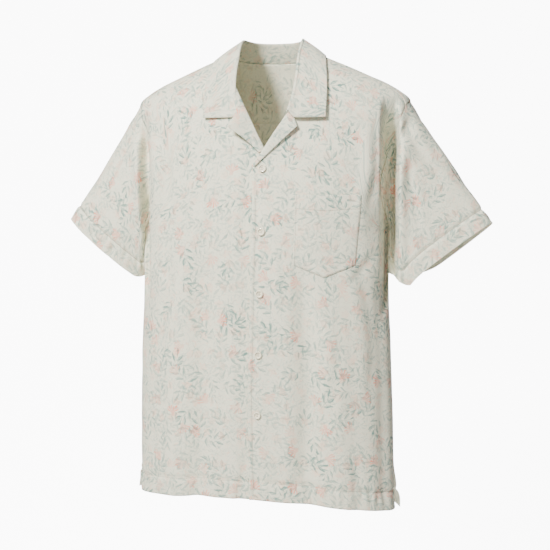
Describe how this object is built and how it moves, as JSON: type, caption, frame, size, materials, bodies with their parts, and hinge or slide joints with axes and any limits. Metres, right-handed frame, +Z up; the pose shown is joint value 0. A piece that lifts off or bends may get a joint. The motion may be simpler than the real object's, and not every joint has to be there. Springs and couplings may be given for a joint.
{
  "type": "short-sleeve shirt",
  "caption": "Short-sleeve buttoned shirt with an open notched collar, a chest pocket, a back yoke, a straight hem and side vents, filled out as if worn",
  "frame": {"origin": "middle of the neck base, level with the two points where the shoulders meet the neck, where the wearer's shoulders hold the shirt", "axes": "+X is the wearer's left, the front faces -Y, +Z is up"},
  "size_m": [0.7063, 0.228, 0.7739],
  "materials": {
    "cloth": "light plain-weave cloth, off-white with a fine printed pattern of sprigs and flowers in soft green and coral",
    "button": "cream four-hole shirt buttons with a soft sheen"
  },
  "bodies": {
    "root": {"back": "cloth", "yoke": "cloth", "front_left": "cloth", "front_right": "cloth", "sleeve_left": "cloth", "sleeve_right": "cloth", "collar": "cloth", "facing_left": "cloth", "facing_right": "cloth", "pocket": "cloth", "button_1": "button", "button_2": "button", "button_3": "button", "button_4": "button", "button_5": "button"}
  },
  "joints": []
}
